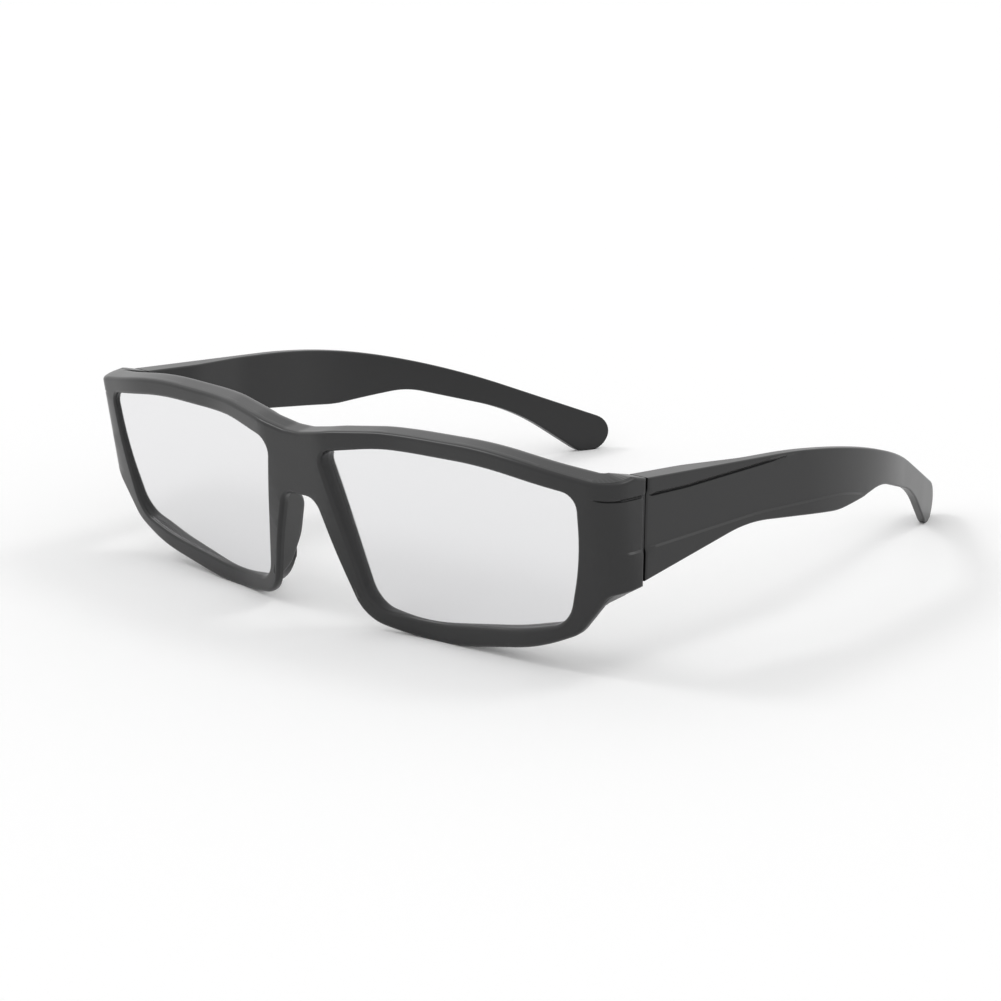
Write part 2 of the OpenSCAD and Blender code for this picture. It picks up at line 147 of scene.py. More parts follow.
def edge_distance(points, loops):
    """Distance from each point to the nearest of the loops."""
    nearest = np.full(len(points), 1e9)
    for loop in loops:
        a = loop
        d = np.roll(loop, -1, 0) - a
        length2 = np.maximum(np.sum(d * d, 1), 1e-12)
        t = np.clip(np.sum((points[:, None] - a) * d, 2) / length2, 0, 1)
        gap = np.linalg.norm(points[:, None] - a - t[:, :, None] * d, axis=2)
        nearest = np.minimum(nearest, gap.min(1))
    return nearest


# how far the grid's points stay off the outlines and the rows, as a share of their spacing, then
# how far a row stays off an outline, and the least height of a triangle
GRID_OFF_EDGE = 0.45
GRID_OFF_ROW = 0.3
ROW_OFF_EDGE = 0.3
SLIVER = 2e-4


def filled(loops, lines, spacing):
    """Triangles over the area between the loops, with rows of points along the lines.

    Gives the points, the triangles and, for each point, its place among those given or -1.
    """
    low, high = loops[0].min(0), loops[0].max(0)
    grid_a = np.arange(low[0] + spacing / 2, high[0], spacing)
    grid_b = np.arange(low[1] + spacing / 2, high[1], spacing)
    grid = np.stack(np.meshgrid(grid_a, grid_b), 2).reshape(-1, 2)
    grid = grid[lies_inside(grid, loops)]
    grid = grid[edge_distance(grid, loops) > spacing * GRID_OFF_EDGE]
    points = [p for loop in loops for p in loop]
    edges = []
    start = 0
    for loop in loops:
        edges += [(start + k, start + (k + 1) % len(loop)) for k in range(len(loop))]
        start += len(loop)
    for line in lines:
        kept = lies_inside(line, loops) & (edge_distance(line, loops) > ROW_OFF_EDGE)
        before = None
        for p, keep in zip(line, kept):
            if not keep:
                before = None
                continue
            points.append(p)
            if before is not None:
                edges.append((before, len(points) - 1))
            before = len(points) - 1
        if len(grid) and kept.any():
            clear = np.linalg.norm(grid[:, None] - line[kept][None], axis=2).min(1)
            grid = grid[clear > spacing * GRID_OFF_ROW]
    points += list(grid)
    made = delaunay_2d_cdt([Vector(p) for p in points], edges, [], 0, 1e-5, True)
    flat = np.array([tuple(p) for p in made[0]])
    triangles = np.array([tuple(f) for f in made[2]])
    middle = flat[triangles].mean(1)
    a, b, c = (flat[triangles[:, k]] for k in range(3))
    area2 = np.abs((b - a)[:, 0] * (c - a)[:, 1] - (b - a)[:, 1] * (c - a)[:, 0])
    longest = np.maximum(np.linalg.norm(b - a, axis=1), np.linalg.norm(c - b, axis=1))
    triangles = triangles[lies_inside(middle, loops) & (area2 > SLIVER * longest)]
    source = [min(origin) if origin else -1 for origin in made[3]]
    return flat, triangles, source


def closed_mesh(name, points, faces):
    """Object with a closed mesh, its faces turned outward."""
    mesh = bpy.data.meshes.new(name)
    mesh.from_pydata([tuple(p) for p in points], [], faces)
    skin = bmesh.new()
    skin.from_mesh(mesh)
    bmesh.ops.recalc_face_normals(skin, faces=skin.faces)
    skin.to_mesh(mesh)
    skin.free()
    made = bpy.data.objects.new(name, mesh)
    bpy.context.scene.collection.objects.link(made)
    return made


def moulding(name, loops, front_at, back_at, front_round, back_round,
             front_lines=(), back_lines=(), spacing=2.4, segments=5, flip=False):
    """Closed plate between a front and a back surface, its edges rounded at both."""
    loops = [turned_left(loops[0])] + [turned_left(loop)[::-1] for loop in loops[1:]]
    verts, faces = [], []
    count = sum(len(loop) for loop in loops)

    def add_ring(inset, depth, place):
        start = len(verts)
        for loop in loops:
            ring = drawn_in(loop, inset) if inset > 1e-9 else loop
            verts.extend(place(ring[:, 0], ring[:, 1], np.full(len(ring), depth)))
        return start

    rings = []
    for i in range(segments + 1):
        a = math.pi / 2 * i / segments
        inset, depth = front_round * (1 - math.sin(a)), front_round * (1 - math.cos(a))
        rings.append(add_ring(inset, depth, front_at))
    for i in range(segments, -1, -1):
        a = math.pi / 2 * i / segments
        inset, depth = back_round * (1 - math.sin(a)), back_round * (1 - math.cos(a))
        rings.append(add_ring(inset, depth, back_at))
    for first, second in zip(rings, rings[1:]):
        start = 0
        for loop in loops:
            n = len(loop)
            for k in range(n):
                a, b = start + k, start + (k + 1) % n
                faces.append((first + a, first + b, second + b, second + a))
            start += n
    for ring, place, inset, lines, turn in (
        (rings[0], front_at, front_round, front_lines, False),
        (rings[-1], back_at, back_round, back_lines, True),
    ):
        inner = [drawn_in(loop, inset) for loop in loops]
        flat, triangles, source = filled(inner, lines, spacing)
        index = np.zeros(len(flat), int)
        for k, origin in enumerate(source):
            if 0 <= origin < count:
                index[k] = ring + origin
            else:
                index[k] = len(verts)
                spot = flat[k]
                verts.extend(place(spot[:1], spot[1:], np.zeros(1)))
        for t in triangles:
            a, b, c = (int(index[v]) for v in t)
            faces.append((a, b, c) if turn else (c, b, a))
    verts = np.array(verts) * MM
    if flip:
        verts[:, 0] *= -1
        faces = [f[::-1] for f in faces]
    return closed_mesh(name, verts, faces)


def turned(points, degrees):
    """Points turned about the X axis."""
    a = math.radians(degrees)
    x, y, z = points[:, 0], points[:, 1], points[:, 2]
    return np.stack([x, y * math.cos(a) - z * math.sin(a), y * math.sin(a) + z * math.cos(a)], 1)


def front_to_table(x, y, z):
    """Front's own frame to the table."""
    return turned(np.stack([x, y, z], 1), FACE_TILT - REST_LEAN) - (0, MIDDLE_Y, GROUND)


def shaded(piece, sharp=32):
    """Smooth shading that keeps true corners and lets the large faces stay flat."""
    piece.data.polygons.foreach_set("use_smooth", [True] * len(piece.data.polygons))
    piece.data.set_sharp_from_angle(angle=math.radians(sharp))
    even = piece.modifiers.new("even_faces", "WEIGHTED_NORMAL")
    even.keep_sharp = True
    even.weight = 60


# corners of the plan, the outline and the opening, each with the radius that rounds it; LOW_Z is
# the height that the outline's low outer corner is placed by
LOW_Z = -FRONT_HEIGHT + 12.2
FACE_PATH = [
    (0, 0, 0), (9.5, 0, 18), (30, 4.3, 80), (66, 6.9, 100), (HALF_WIDTH, 11, 7), (HALF_WIDTH, 35, 0),
]
FRONT_HALF = [
    (2.5, -1.7, 11), (12, -0.2, 50), (24, 0.65, 60), (56, 0.6, 120), (90, -5.6, 0),
    (90, LOW_Z + 7.6, 0), (80.6, LOW_Z + 6.2, 3), (72.6, LOW_Z - 2.8, 9), (62, -41.4, 60),
    (33, -FRONT_HEIGHT, 62.56), (NOSE_FOOT_HALF, -42.4, 9.5), (BRIDGE_HALF, -BRIDGE_DROP, 4),
]
LENS_OPENING = [
    (8.1, -5.2, 3.2), (24, -3.1, 60), (54, -3.3, 120), (75.7, -6.8, 3.5), (75, -20.1, 60),
    (70.6, -34.8, 8), (57, -38.1, 80), (32, -41.1, 70), (16.8, -39.5, 7),
]

face_line = fine_line(FACE_PATH, 0.25)
face_run = np.concatenate([[0], np.cumsum(np.linalg.norm(np.diff(face_line, axis=0), axis=1))])
face_slope = np.gradient(face_line, face_run, axis=0)
face_angle = np.unwrap(np.arctan2(face_slope[:, 1], face_slope[:, 0]))
before_wall = face_line[:, 0] < HALF_WIDTH - 1e-4
WALL_RUN = float(face_run[before_wall][-1])
WALL_Y = float(face_line[before_wall][-1, 1])
CORNER_ANGLE = math.atan2(FACE_PATH[4][1] - FACE_PATH[3][1], FACE_PATH[4][0] - FACE_PATH[3][0])
CORNER_START = 70
TILT = math.radians(FACE_TILT)


def run_at(x):
    """Distance along the face from the middle for a given x."""
    return np.sign(x) * np.interp(np.abs(x), face_line[before_wall, 0], face_run[before_wall])


def on_face(run, z, depth):
    """Point at a distance along the face, at a height, and a depth below the surface."""
    side = np.where(run < 0, -1.0, 1.0)
    r = np.abs(run)
    x = np.interp(r, face_run, face_line[:, 0])
    y = np.interp(r, face_run, face_line[:, 1])
    a = np.interp(r, face_run, face_angle)
    square = np.clip((a - CORNER_ANGLE) / (math.pi / 2 - CORNER_ANGLE), 0, 1) * math.pi / 2
    square = np.where(x > CORNER_START, square, 0)
    return side * (x - np.sin(square) * depth), y + np.cos(square) * depth, z


def seam_y(z):
    """Where the hinge seam cuts the front, in the front's own frame."""
    return (SEAM + z * math.sin(TILT)) / math.cos(TILT)


def arms_frame(y, z):
    """Front's own frame to the frame of the arms."""
    return y * math.cos(TILT) - z * math.sin(TILT), y * math.sin(TILT) + z * math.cos(TILT)


whole_outline = rounded(FRONT_HALF + [(-x, z, r) for x, z, r in FRONT_HALF[::-1]])
half_outline = divided(whole_outline[whole_outline[:, 0] > 0], 0.6, closed=False)
top_start = int(np.argmax(half_outline[:, 0] > HALF_WIDTH))
top_half = half_outline[:top_start]
low_half = half_outline[top_start:]
low_half = low_half[low_half[:, 0] < HALF_WIDTH]


def sloping_top(y):
    """Height of the corner pieces' sloping top edge that runs into the arms, in the front's frame."""
    rise = math.tan(math.radians(TOP_SLOPE))
    start = rise * SEAM - ARM_TOP
    fall = rise * math.cos(TILT) + math.sin(TILT)
    return (start - fall * y) / (math.cos(TILT) - rise * math.sin(TILT))


def top_fall(x):
    """Straight end of the front's top edge, which falls 6.2 over 34 from x = 56 outward."""
    return 0.6 - 6.2 * (x - 56) / 34


# heights of the outline where it meets the side wall, and of the top at the seam; the low edge
# rises 1.4 over 9.4 from x = 80.6 outward
CORNER_TOP = top_fall(HALF_WIDTH)
CORNER_LOW = LOW_Z + 6.2 + 1.4 * (HALF_WIDTH - 80.6) / 9.4
SEAM_TOP = -5.7
corner_top_y = float(np.interp(-CORNER_TOP, [-sloping_top(10), -sloping_top(30)], [10, 30]))
corner_end_y = float(seam_y(SEAM_TOP))
corner_end_z = float(sloping_top(corner_end_y))
corner_low_y = float(seam_y(CORNER_LOW))
top_u = np.stack([run_at(top_half[:, 0]), top_half[:, 1]], 1)
low_u = np.stack([run_at(low_half[:, 0]), low_half[:, 1]], 1)
corner_u = np.array([
    (WALL_RUN, CORNER_TOP),
    (WALL_RUN + corner_top_y - WALL_Y, CORNER_TOP),
    (WALL_RUN + corner_end_y - WALL_Y, corner_end_z),
    (WALL_RUN + corner_low_y - WALL_Y, CORNER_LOW),
])
half_face = np.concatenate([top_u, corner_u, low_u])
face_loop = np.concatenate([half_face, (half_face * (-1, 1))[::-1]])
lens_line = rounded(LENS_OPENING)
lens_u = np.stack([run_at(lens_line[:, 0]), lens_line[:, 1]], 1)
face_loops = [divided(face_loop, 1.0), divided(lens_u, 0.9), divided(lens_u * (-1, 1), 0.9)]

# the shallow field that carries the arms' sunk panel onto the corner pieces, its edges sloped
# and a fine groove along the upper one
FIELD_REACH = 9
PANEL_SINK = 0.4
PANEL_SLOPE = 0.4
GROOVE_WIDTH = 0.46
GROOVE_DEPTH = 0.26
# lengths over which field and groove begin, and the panel's start ahead of the seam
FIELD_START = 3
GROOVE_START = 2
PANEL_LEAD = 5
# distances inside its edge where rows of points make the slope and the groove crisp
FIELD_STEPS = (-PANEL_SLOPE / 2, PANEL_SLOPE / 2, (PANEL_SLOPE + GROOVE_WIDTH) / 2,
               PANEL_SLOPE / 2 + GROOVE_WIDTH)


def panel_top(y):
    """Height in the frame of the arms of the field's upper edge, which rises 0.6 over 17."""
    return -4.9 + (y - SEAM + PANEL_LEAD) * 0.6 / 17


def panel_low(y):
    """Height in the frame of the arms of the field's lower edge, which rises 3.3 over 39."""
    return -16.3 + (y - SEAM + PANEL_LEAD) * 3.3 / 39


def upper_groove(inside):
    """Depth of the groove at a distance inside the upper edge."""
    middle = (PANEL_SLOPE + GROOVE_WIDTH) / 2
    return GROOVE_DEPTH * np.clip(1 - np.abs(inside - middle) / (GROOVE_WIDTH / 2), 0, 1)


def corner_sink(run, z):
    """Depth of that field and its groove at a place on the corner pieces."""
    y = WALL_Y + np.abs(run) - WALL_RUN
    ya, za = arms_frame(y, z)
    from_top = panel_top(ya) - za
    inside = np.minimum(from_top, za - panel_low(ya))
    start = np.clip((np.abs(run) - WALL_RUN + FIELD_REACH / 2) / FIELD_START, 0, 1)
    groove_start = np.clip((np.abs(run) - WALL_RUN + FIELD_REACH) / GROOVE_START, 0, 1)
    groove = upper_groove(from_top) * groove_start
    return PANEL_SINK * start * np.clip(inside / PANEL_SLOPE + 0.5, 0, 1) + groove


def face_front(run, z, depth):
    """Outer surface of the face plate."""
    return front_to_table(*on_face(run, z, depth + corner_sink(run, z)))


def face_back(run, z, depth):
    """Inner surface of the face plate."""
    return front_to_table(*on_face(run, z, FACE_THICK - depth))


def field_lines(side):
    """Rows of points along the edges of the shallow field."""
    lines = []
    for shift in FIELD_STEPS:
        ya = np.linspace(SEAM - FIELD_REACH - PANEL_LEAD, SEAM, 34)
        for edge, sign in ((panel_top, -1), (panel_low, 1)):
            za = edge(ya) + sign * shift
            y = ya * math.cos(TILT) + za * math.sin(TILT)
            z = -ya * math.sin(TILT) + za * math.cos(TILT)
            lines.append(np.stack([side * (WALL_RUN + y - WALL_Y), z], 1))
    return lines


def closed_tool(name, first, second, flip=False):
    """Cutting tool between two outlines with as many points each."""
    count = len(first)
    points = np.concatenate([first, second]) * MM
    if flip:
        points[:, 0] *= -1
    faces = [tuple(range(count)), tuple(range(count, 2 * count))]
    faces += [(k, (k + 1) % count, (k + 1) % count + count, k + count) for k in range(count)]
    return closed_mesh(name, points, faces)


def cut_out(piece, tools):
    """Cuts the tools out of the piece for good and removes them."""
    for tool in tools:
        cut = piece.modifiers.new(tool.name, "BOOLEAN")
        cut.operation = "DIFFERENCE"
        cut.solver = "EXACT"
        cut.object = tool
    bpy.context.view_layer.update()
    evaluated = piece.evaluated_get(bpy.context.evaluated_depsgraph_get())
    made = bpy.data.meshes.new_from_object(evaluated)
    piece.modifiers.clear()
    piece.data = made
    for tool in tools:
        bpy.data.objects.remove(tool)
    return piece


# depth of the film at its end by the nose, where that end is, the film's wrap in degrees, its edge
# held behind the rim, and how far back the room is cut
FILM_DEPTH = 2.5
FILM_INSIDE = 8
FILM_WRAP = 6.4
FILM_HOLD = 1.4
ROOM_REACH = 30
lens_dense = turned_left(divided(lens_line, 0.9))


def film_room(flip):
    """Room behind the rim that the film and its retainer ring are laid into from the back."""
    loop = drawn_in(lens_dense[::-1], FILM_HOLD)
    y = FILM_DEPTH + (loop[:, 0] - FILM_INSIDE) * math.tan(math.radians(FILM_WRAP))
    return closed_tool("film_room", front_to_table(loop[:, 0], y, loop[:, 1]),
                       front_to_table(loop[:, 0], y + ROOM_REACH, loop[:, 1]), flip)


face_plate = moulding("front_face", face_loops, face_front, face_back, FACE_ROUND, INNER_ROUND,
                      front_lines=field_lines(1) + field_lines(-1))
cut_out(face_plate, [film_room(False), film_room(True)])
shaded(face_plate)
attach(face_plate, "front")
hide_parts("front_frame")


def from_hex(code):
    """sRGB hex colour to the linear value a shader takes."""
    channels = [int(code[i:i + 2], 16) / 255 for i in (1, 3, 5)]
    return [c / 12.92 if c <= 0.04045 else ((c + 0.055) / 1.055) ** 2.4 for c in channels] + [1]


def node(tree, kind, links=(), out=None, **settings):
    """Adds one node: settings by name, links as (input, source socket or value)."""
    made = tree.nodes.new("ShaderNode" + kind)
    for key, value in settings.items():
        setattr(made, key, value)
    for key, value in dict(links).items():
        if isinstance(value, bpy.types.NodeSocket):
            tree.links.new(value, made.inputs[key])
        else:
            made.inputs[key].default_value = value
    return made.outputs[out if out is not None else 0]


def new_material(name):
    """New material with its node tree and its shader."""
    material = bpy.data.materials.new(name)
    material.use_nodes = True
    tree = material.node_tree
    return material, tree, tree.nodes["Principled BSDF"]


# black ABS straight from a finely textured mould: satin, nearly even, with a sheen at flat angles
# and 18 mm clouds of slightly more or less gloss; the grain is drawn 0.5 mm wide, coarser than the
# real one, so that it shows; here and below a pattern's scale is 1 over its size in metres
satin_black_abs, tree, plastic = new_material("satin_black_abs")
place = node(tree, "TexCoord", out="Object")
grain = node(tree, "TexNoise", {"Vector": place, "Scale": 1 / 0.0005, "Detail": 3.0})
cloud = node(tree, "TexNoise", {"Vector": place, "Scale": 1 / 0.018, "Detail": 2.0})
gloss = node(tree, "MapRange", {"Value": cloud, "From Min": 0.3, "From Max": 0.7,
                                "To Min": 0.29, "To Max": 0.34})
relief = node(tree, "Bump", {"Height": grain, "Distance": 0.000012, "Strength": 0.6})
tree.links.new(gloss, plastic.inputs["Roughness"])
tree.links.new(relief, plastic.inputs["Normal"])
plastic.inputs["Base Color"].default_value = from_hex("#121213")
plastic.inputs["IOR"].default_value = 1.5
face_plate.data.materials.append(satin_black_abs)

# Rim ribs: part of the same moulding, a rib of black ABS behind the face round each opening, with
# the ledge that the film and its ring are laid into from the back.
CORNER_INSIDE = 78.5
BACK_PATH = [
    (0, 6.7, 0), (9.5, 6.7, 14), (30, 11, 80), (66, 13.6, 60),
    (CORNER_INSIDE, 17.1, 1.5), (CORNER_INSIDE, 35, 0),
]
# heights and backs of the low nose corners, and the backs that leave room for the hinges at each x
# below HINGE_ROOM_TOP; FREE and AWAY lie behind everything
FREE = 99
AWAY = 20
NOSE_CORNER = ([-42.3, -41.5, -39.8, -35.9, -33.4], [2.2, 5.9, 6.4, 7.1, 8.7])
NOSE_CORNER_REACH = 23.6
HINGE_ROOM = ([63.6, 64, 70, CORNER_INSIDE], [FREE, 15.4, 13.8, 14.2])
HINGE_ROOM_TOP = -6.5
HINGE_ROOM_EDGE = 0.2
# where the rear pieces start and how thick they are at least, behind the face's outer surface
REAR_LAP = 1.0
REAR_LEAST = 1.5
REAR_ROUND = 0.3
# width of a rib, its gap to the front's outline, the least step between points that this gap has
# pushed together, and a hair's breadth that keeps faces apart
RIB = 2.3
RIB_CLEAR = 0.06
RIB_STEP = 0.15
HAIR = 0.02
back_line = fine_line(BACK_PATH, 0.25)
before_side = back_line[:, 0] < CORNER_INSIDE - 1e-4


def face_y(x):
    """Depth of the face at x."""
    return np.interp(np.abs(x), face_line[before_wall, 0], face_line[before_wall, 1])


def back_y(x, z):
    """Back of the rear part, with the low nose corners and the room for the hinges taken off."""
    ax = np.abs(x)
    y = np.interp(ax, back_line[before_side, 0], back_line[before_side, 1])
    low_nose = (ax < NOSE_CORNER_REACH) & (z < NOSE_CORNER[0][-1])
    foot = np.where(low_nose, np.interp(z, *NOSE_CORNER), FREE)
    above_room = np.clip((z - HINGE_ROOM_TOP) / HINGE_ROOM_EDGE, 0, 1)
    hinge = np.interp(ax, *HINGE_ROOM) + above_room * AWAY
    return np.maximum(np.minimum(np.minimum(y, foot), hinge), face_y(x) + REAR_LEAST)


def rear_front(x, z, depth):
    """Front of the rear pieces, inside the face plate."""
    return front_to_table(x, face_y(x) + REAR_LAP + depth, z)


def rear_back(x, z, depth):
    """Back of the rim ribs."""
    return front_to_table(x, back_y(x, z) - depth, z)


def placed(piece, body, material):
    """Shading, body and material of a finished piece."""
    shaded(piece)
    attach(piece, body)
    piece.data.materials.append(material)


edge_loop = turned_left(divided(whole_outline, 0.8))
rib_outer = drawn_in(lens_dense[::-1], RIB)[::-1]
inner_edge = drawn_in(edge_loop, RIB_CLEAR)
within = lies_inside(rib_outer, [inner_edge])
nearest = [inner_edge[np.argmin(np.linalg.norm(inner_edge - p, axis=1))] for p in rib_outer]
rib_outer = np.where(within[:, None], rib_outer, np.array(nearest))
step = np.linalg.norm(rib_outer - np.roll(rib_outer, 1, 0), axis=1)
rib_outer = rib_outer[step > RIB_STEP]
rib_hole = drawn_in(lens_dense[::-1], HAIR)[::-1]
for flip, label in ((False, "left"), (True, "right")):
    rib = moulding("rim_rib_" + label, [rib_outer, rib_hole], rear_front, rear_back, HAIR, REAR_ROUND,
                   flip=flip)
    placed(cut_out(rib, [film_room(flip)]), "front", satin_black_abs)

# Top bar and bridge: the thick part of the same moulding, one solid bar above both openings that
# runs down between them. Its rear upper edge is crowned.

# the bar ends at the corner blocks and laps over the rim ribs; its low edge follows the opening
# from the outer top corner to the foot of the bridge
BAR_END = 79
BAR_TOP_ABOVE = -8
BAR_LAP = 1.1
BAR_LOW_START = (77.0, -6.5)
BAR_LOW_END = (20, -15.7)
BAR_CROWN = 2.4
CROWN_STEPS = (0.5, 0.9, 1.4, 2.0, 2.6)
SKIN = 0.03
bar_top = half_outline[(half_outline[:, 0] < BAR_END) & (half_outline[:, 1] > BAR_TOP_ABOVE)]
around = drawn_in(lens_dense[::-1], BAR_LAP)[::-1]
bar_start = int(np.argmin(np.abs(around - BAR_LOW_START).sum(1)))
around = np.roll(around, -bar_start, axis=0)
bar_end = int(np.argmax((around[:, 0] < BAR_LOW_END[0]) & (around[:, 1] < BAR_LOW_END[1])))
bar_low = around[:bar_end]
bar_half = np.concatenate([bar_low[::-1], [[BAR_END, -6.3]], bar_top[::-1]])
bar_loop = np.concatenate([bar_half, (bar_half * (-1, 1))[::-1]])
bar_loop = drawn_in(turned_left(divided(bar_loop, 1.0)), SKIN)
crown_order = np.argsort(bar_top[:, 0])


def bar_crown(x):
    """Height of the bar's top edge."""
    return np.interp(np.abs(x), bar_top[crown_order, 0], bar_top[crown_order, 1]) - SKIN


def bar_back(x, z, depth):
    """Back of the bar, drawn in towards its crowned edge."""
    below = np.clip(bar_crown(x) - z, 0, BAR_CROWN)
    crown = BAR_CROWN - np.sqrt(BAR_CROWN ** 2 - (BAR_CROWN - below) ** 2)
    return front_to_table(x, back_y(x, z) - SKIN - depth - crown, z)


crown_x = np.arange(-77, 77.5, 1.0)
crown_lines = [np.stack([crown_x, bar_crown(crown_x) - below], 1) for below in CROWN_STEPS]
top_bar = moulding("top_bar", [bar_loop], rear_front, bar_back, HAIR, REAR_ROUND, back_lines=crown_lines)
placed(cut_out(top_bar, [film_room(False), film_room(True)]), "front", satin_black_abs)

# Corner blocks: solid ABS behind the rounded corners of the same moulding, cut off in the plane of
# the hinge seam, with a pocket for the steel leaf and a round one for the knuckles.

# the pockets seen from above: each leaf's plate beside the seam, and the knuckles round the pin
LEAF_INSIDE = 78.49
LEAF_OUTSIDE = 79.31
LEAF_HALF = 3.05
LEAF_AWAY = 3
HINGE_X = 77.5
KNUCKLE_ROOM = 2.1
POCKET_LOW = -15.75
LEAF_HIGH = -7.85
KNUCKLE_HIGH = -6.85
# the blocks seen from above: where they begin inside, how deep in the face, where they lean into
# the seam's plane, and how far along the side wall they may reach
BLOCK_LAP = 78.3
BLOCK_LAP_DEPTH = 0.6
BLOCK_LEAN = 14
BLOCK_REACH = 8
BLOCK_ROUND = 0.35


def arms_to_table(x, y, z):
    """Frame of the arms to the table."""
    return turned(np.stack([x, y, z], 1), -REST_LEAN) - (0, MIDDLE_Y, GROUND)


def corner_top(x, y):
    """Top of the corner pieces, which slopes towards the arms."""
    cut = np.where(x > LEAF_INSIDE, sloping_top(y), FREE)
    return np.minimum(top_fall(x), cut) - SKIN


def corner_low(x):
    """Underside of the corner pieces."""
    outer_end = low_half[:80]
    order = np.argsort(outer_end[:, 0])
    return np.interp(x, outer_end[order, 0], outer_end[order, 1]) + SKIN


def leaned(y, z):
    """Depth shifted so that the end lies in the slanting plane of the seam."""
    share = np.clip((y - BLOCK_LEAN) / (seam_y(0) - BLOCK_LEAN), 0, 1)
    return y + (seam_y(z) - seam_y(0)) * share


def block_top(x, y, depth):
    """Upper surface of the block."""
    z = corner_top(x, leaned(y, corner_top(x, y))) - depth
    return front_to_table(x, leaned(y, z), z)


def block_low(x, y, depth):
    """Lower surface of the block."""
    z = corner_low(x) + depth
    return front_to_table(x, leaned(y, z), z)


along_inside = np.linspace(run_at(BLOCK_LAP), WALL_RUN + BLOCK_REACH, 60)
face_inside = np.stack(on_face(along_inside, 0, BLOCK_LAP_DEPTH)[:2], 1)
face_inside = face_inside[face_inside[:, 1] < seam_y(0) - 0.5]
block_plan = np.concatenate([
    face_inside,
    [(83.4, seam_y(0)), (CORNER_INSIDE, seam_y(0)), (CORNER_INSIDE, 12.4), (BLOCK_LAP, 12.2)],
])
block_loop = turned_left(divided(block_plan, 0.8))


def hinge_tools(leaf_y, flip):
    """Tools for the hinge's places: the flat leaf and the round knuckles with their screw."""
    tools = []
    near, far = leaf_y - LEAF_HALF, leaf_y + LEAF_HALF
    leaf = [(LEAF_INSIDE, near), (LEAF_OUTSIDE, near), (LEAF_OUTSIDE, far), (LEAF_INSIDE, far)]
    turns = [math.pi * k / 24 for k in range(48)]
    knuckles = [(HINGE_X + KNUCKLE_ROOM * math.cos(a), SEAM + KNUCKLE_ROOM * math.sin(a)) for a in turns]
    for name, rim, high in (("leaf", leaf, LEAF_HIGH), ("knuckles", knuckles, KNUCKLE_HIGH)):
        rim = np.array(rim)
        ends = [arms_to_table(rim[:, 0], rim[:, 1], np.full(len(rim), z)) for z in (POCKET_LOW, high)]
        tools.append(closed_tool(name, ends[0], ends[1], flip))
    return tools


for flip, label in ((False, "left"), (True, "right")):
    block = moulding("corner_block_" + label, [block_loop], block_top, block_low, BLOCK_ROUND,
                     BLOCK_ROUND, flip=flip)
    cut_out(block, hinge_tools(SEAM - LEAF_AWAY, flip))
    placed(block, "front", satin_black_abs)

# Nose rests: two smooth tongues of the same ABS moulding that stand back from the nose side of
# each rim and flare outward, their edges well rounded where they lie on the nose.
REST_PROFILE = [
    (1, -0.4, 1), (4.2, -0.9, 2.5), (8.4, -5.5, 6), (8.4, -15, 10), (5.8, -22, 4), (1, -24.3, 1),
]
# lean of the rim's nose side, whose foot lies FOOT_RISE above the lowest point, and the flare
FOOT_RISE = 4
REST_LEAN_OUT = math.atan2(NOSE_FOOT_HALF - BRIDGE_HALF, FRONT_HEIGHT - FOOT_RISE - BRIDGE_DROP)
REST_FLARE = math.radians(8)
# where a rest starts beside the middle, and its two sides from there
REST_START = 4.85
REST_INSIDE = 0.1
REST_OUTSIDE = 2.1
REST_ROUND = 0.8


def rest_at(x, y, z):
    """Place on the table of a point of the left rest, drawn upright at the bridge."""
    x, y = (x * math.cos(REST_FLARE) + y * math.sin(REST_FLARE),
            -x * math.sin(REST_FLARE) + y * math.cos(REST_FLARE))
    x, z = (x * math.cos(REST_LEAN_OUT) - z * math.sin(REST_LEAN_OUT),
            x * math.sin(REST_LEAN_OUT) + z * math.cos(REST_LEAN_OUT))
    return front_to_table(x + REST_START, y, z - BRIDGE_DROP)


def rest_inner(y, z, depth):
    """Side towards the nose."""
    return rest_at(REST_INSIDE + depth, y, z)


def rest_outer(y, z, depth):
    """Side towards the rim."""
    return rest_at(REST_OUTSIDE - depth, y, z)


rest_loop = divided(rounded(REST_PROFILE), 0.8)
for flip, label in ((False, "left"), (True, "right")):
    rest = moulding("nose_rest_" + label, [rest_loop], rest_inner, rest_outer, REST_ROUND, REST_ROUND,
                    spacing=1.4, flip=flip)
    placed(rest, "front", satin_black_abs)

# Arms: two broad temples injection-moulded in the same black ABS, straight behind the hinge, bent
# inward and down over the ear, with a shallow panel sunk into the outer face. Each turns on its
# hinge screw, and its leaf lies in a pocket on the inside.

# the arm begins just behind the seam; its corners are given side on, then from above
ARM_START = 22.85
ARM_ROUND = 0.5
ARM_SIDE = [
    (ARM_START, -ARM_TOP, 0), (94.8, -ARM_TOP, 180), (154.2, -24.8, 4.56), (148.9, -34.9, 5.19),
    (129.4, -20.7, 45), (103.1, -13.8, 22), (82.8, -16.3, 30), (53.4, -14.6, 40),
    (ARM_START, -22.44, 0),
]
ARM_OUTER = [(HALF_WIDTH, 2.6, 0), (HALF_WIDTH, 96.27, 100), (47.06, 167.23, 0)]
ARM_INNER = [
    (CORNER_INSIDE, 20, 0), (CORNER_INSIDE, 37.6, 30), (81, 52.6, 30), (81, 95.54, 97),
    (45.11, 166.21, 0),
]
arm_outer = fine_line(ARM_OUTER, 0.5)
arm_inner = fine_line(ARM_INNER, 0.5)
# corners of the sunk panel; its edges run out of the arm at the far end
ARM_PANEL = [
    (17.6, -4.9, 0), (34.6, -4.3, 60), (78.6, -0.8, 0), (174.2, 20, 0), (174.2, -60, 0),
    (101.6, -16.1, 0), (84.6, -12.6, 60), (56.6, -13, 80), (17.6, -16.3, 0),
]
